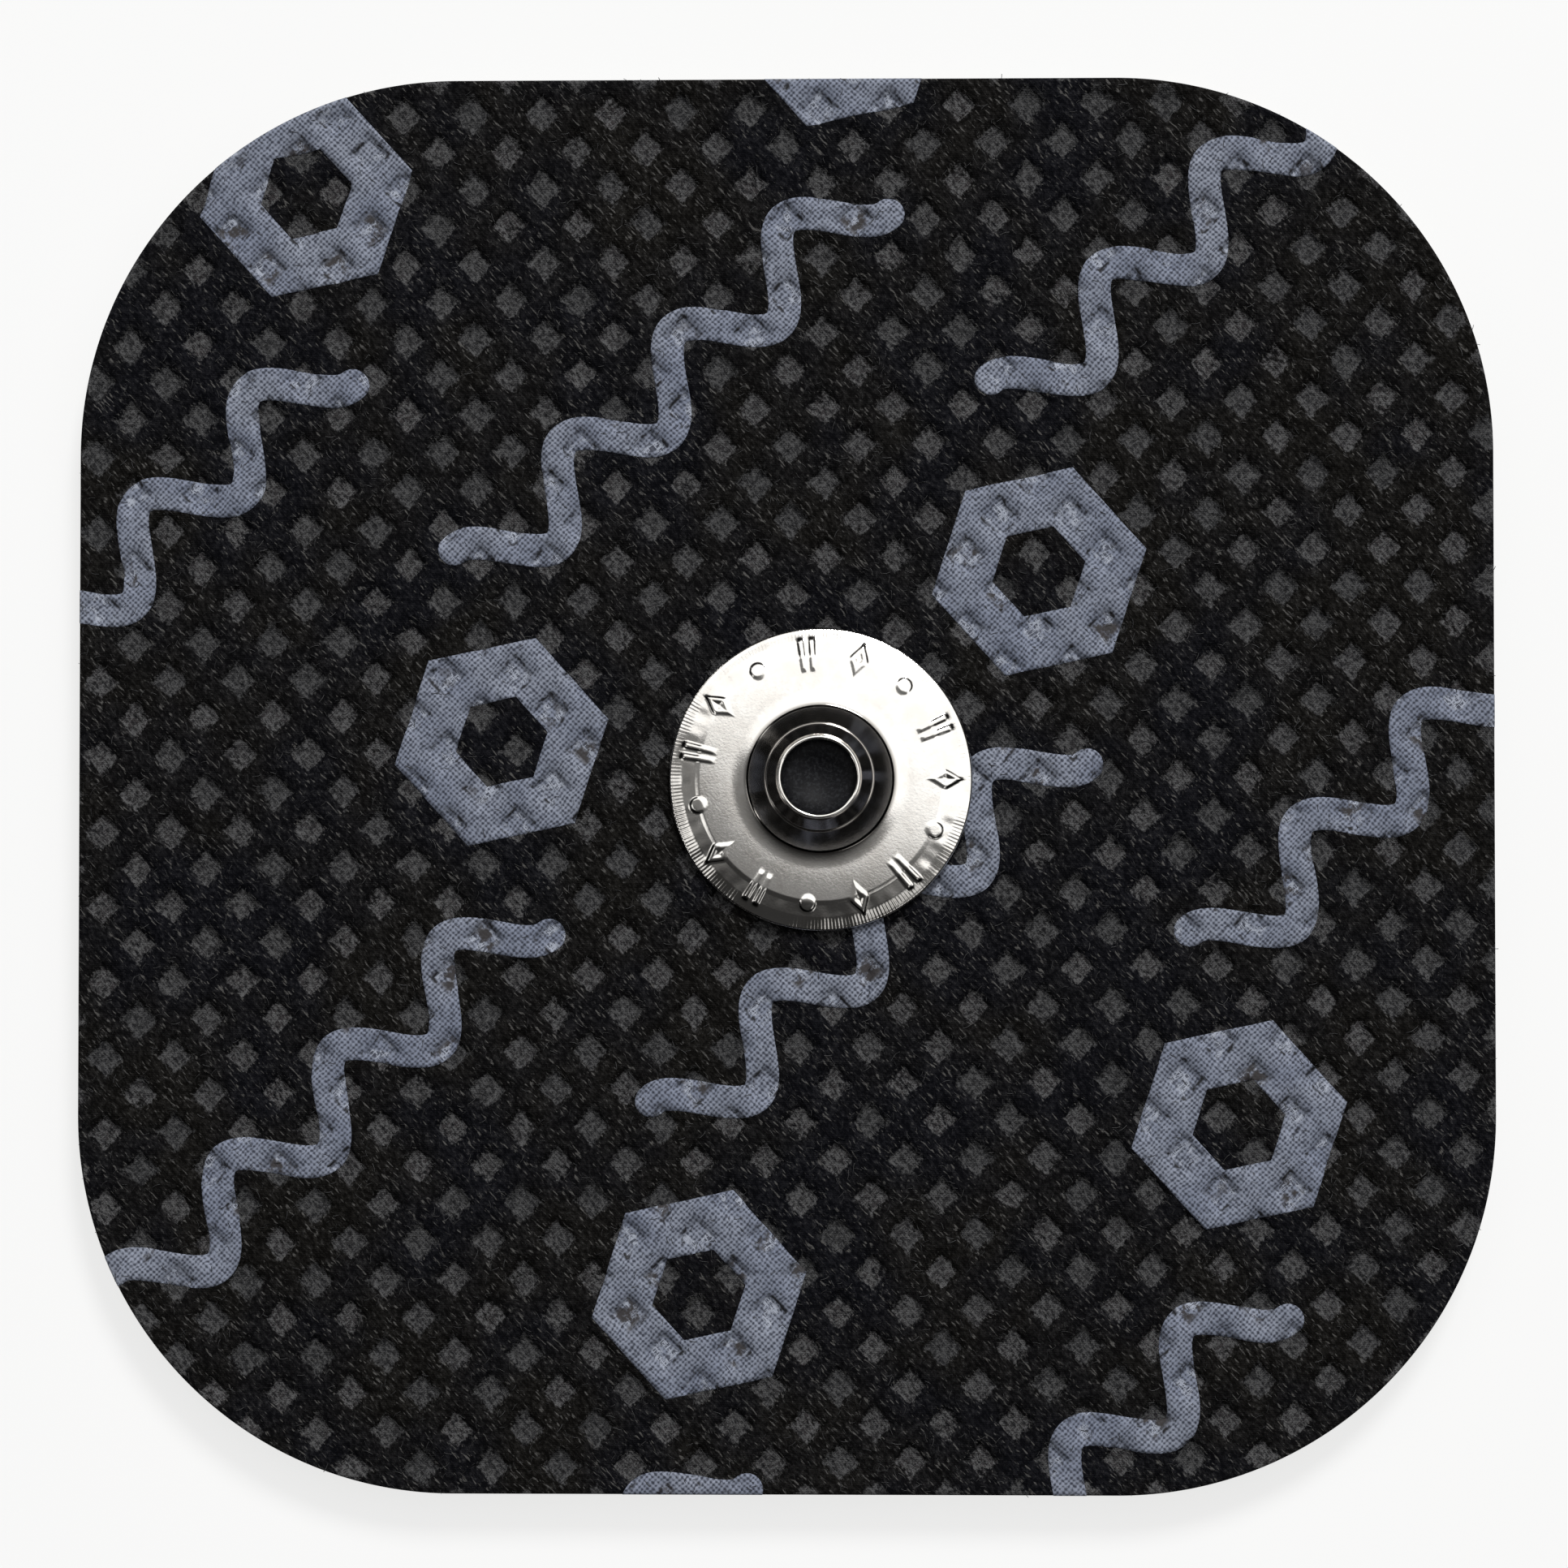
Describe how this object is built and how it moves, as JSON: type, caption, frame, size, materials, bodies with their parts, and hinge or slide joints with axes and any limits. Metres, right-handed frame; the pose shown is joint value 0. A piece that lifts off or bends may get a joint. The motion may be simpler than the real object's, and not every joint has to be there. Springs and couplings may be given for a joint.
{
  "type": "tens electrode pad",
  "caption": "Square self-adhesive electrode pad with round corners, embossed black fabric on a gel layer, and a metal snap stud.",
  "frame": {"origin": "middle of the skin face, on the surface that the pad lies on", "axes": "+Z out of the printed face along the snap's axis, +X and +Y along the pad's sides"},
  "size_m": [0.05, 0.05, 0.0049],
  "materials": {
    "black_nonwoven": "matte",
    "slate_ink": "matte",
    "nickel_plate": "satin",
    "black_plastic": "matte",
    "carbon_film": "matte",
    "cover_film": "matte",
    "clear_gel": "gloss"
  },
  "bodies": {
    "root": {"backing_fabric": "black_nonwoven", "carbon_film": "carbon_film", "eyelet_cover": "cover_film", "hydrogel": "clear_gel", "print_hexagon_r2_c3": "slate_ink", "print_hexagon_r2_c4": "slate_ink", "print_hexagon_r3_c3": "slate_ink", "print_hexagon_r3_c4": "slate_ink", "print_hexagon_r4_c3": "slate_ink", "print_hexagon_r4_c4": "slate_ink", "print_wave_r1_c2": "slate_ink", "print_wave_r1_c3": "slate_ink", "print_wave_r2_c2": "slate_ink", "print_wave_r2_c3_left": "slate_ink", "print_wave_r2_c3_right": "slate_ink", "print_wave_r2_c4": "slate_ink", "print_wave_r3_c2": "slate_ink", "print_wave_r3_c3": "slate_ink", "print_wave_r3_c4": "slate_ink", "snap_eyelet": "black_plastic", "snap_stud": "nickel_plate"}
  },
  "joints": []
}
